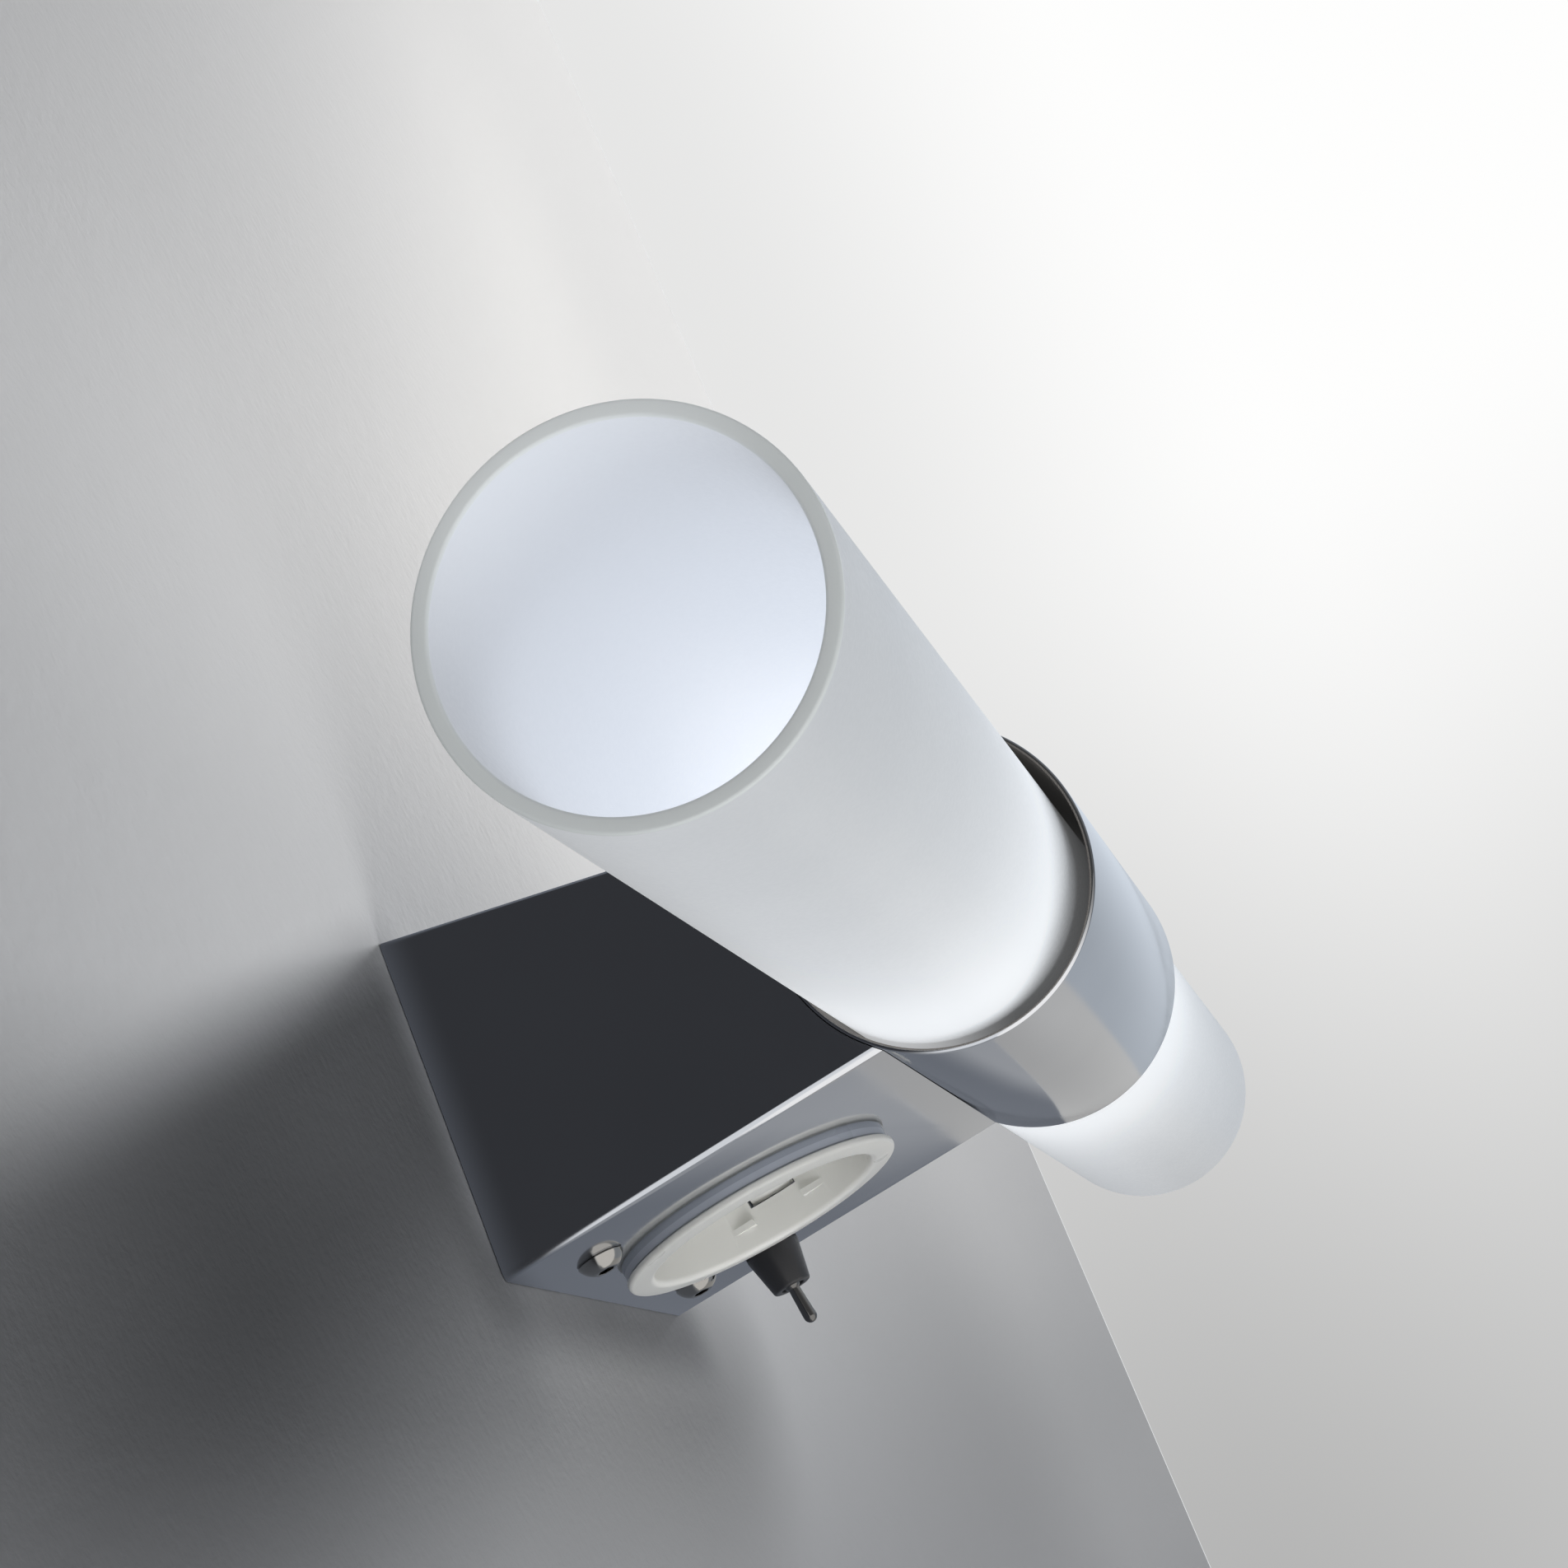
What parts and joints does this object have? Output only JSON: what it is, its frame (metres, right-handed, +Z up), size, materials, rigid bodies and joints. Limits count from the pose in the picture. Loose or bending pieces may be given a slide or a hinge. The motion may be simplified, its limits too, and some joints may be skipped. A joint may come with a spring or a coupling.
{
  "type": "tube wall light",
  "caption": "Wall light with an open frosted glass tube held across its middle by a polished sleeve on a tapered box, with a plug socket and a toggle switch underneath.",
  "frame": {"origin": "centre of the back of the box, on the wall", "axes": "+X along the glass tube to the right as seen from the room, +Y into the wall, +Z up; the socket and the switch face down"},
  "size_m": [0.406, 0.104, 0.0663],
  "materials": {
    "chrome": "polished chrome plate on brass and steel",
    "frosted_glass": "satin etched inside and out, ends ground flat",
    "white_plastic": "off-white moulded thermoplastic, semi gloss",
    "black_plastic": "black, semi gloss",
    "black_case": "moulded, matte",
    "clear_plastic": "natural moulded terminal block",
    "lead_insulation": "heat resistant silicone insulation",
    "black_rubber": "soft moulded",
    "clear_rubber": "translucent silicone sheet",
    "ceramic": "unglazed steatite",
    "zinc_steel": "zinc plated sheet and turned parts",
    "stainless": "polished stainless",
    "spring_steel": "nickel plated spring strip",
    "nickel": "nickel plated brass",
    "brass": "bare turned brass",
    "clear_glass": "clear capsule",
    "tungsten": "wound wire"
  },
  "bodies": {
    "fixture": {"wall_plate": "zinc_steel", "cable_grommet": "black_rubber", "housing": "chrome", "cover_screws": "stainless", "sleeve": "chrome", "outer_pad": "clear_rubber", "glass_tube": "frosted_glass", "inner_pad": "clear_rubber", "stem": "zinc_steel", "stem_washer": "zinc_steel", "stem_nut_housing": "zinc_steel", "stem_nut_tube": "zinc_steel", "lamp_carrier": "zinc_steel", "lampholder_rivets": "zinc_steel", "lampholder_left": "ceramic", "lampholder_right": "ceramic", "lamp_base_left": "ceramic", "lamp_base_right": "ceramic", "lamp_pins_left": "stainless", "lamp_pins_right": "stainless", "lamp_capsule_left": "clear_glass", "lamp_capsule_right": "clear_glass", "lamp_filament_left": "tungsten", "lamp_filament_right": "tungsten", "socket_face": "white_plastic", "socket_base": "ceramic", "socket_contacts": "brass", "earth_strap": "spring_steel", "socket_screw": "stainless", "socket_latches": "spring_steel", "switch_frame": "nickel", "switch_pin": "stainless", "switch_washer": "nickel", "switch_cone": "black_plastic", "switch_body": "black_case", "switch_terminals": "brass", "terminal_block": "clear_plastic", "terminal_sleeves": "brass", "terminal_screws": "stainless", "earth_screw": "brass", "earth_washer": "stainless", "lamp_lead_left": "lead_insulation", "lamp_lead_right": "lead_insulation"},
    "lever": {"switch_lever": "nickel"},
    "rocker": {"switch_rocker": "brass"}
  },
  "joints": [
    {"name": "lever_swing", "type": "hinge", "parent": "fixture", "child": "lever", "pos_m": [0.0395, -0.022, -0.03103], "axis": [0, 0.9919, -0.1271], "range_deg": [0, 20]},
    {"name": "rocker_tip", "type": "hinge", "parent": "fixture", "child": "rocker", "pos_m": [0.0395, -0.02018, -0.01685], "axis": [0, 0.9919, -0.1271], "range_deg": [-16, 0]}
  ],
  "couplings": [
    {"joint": "rocker_tip", "follows": "lever_swing", "ratio": -0.8}
  ]
}
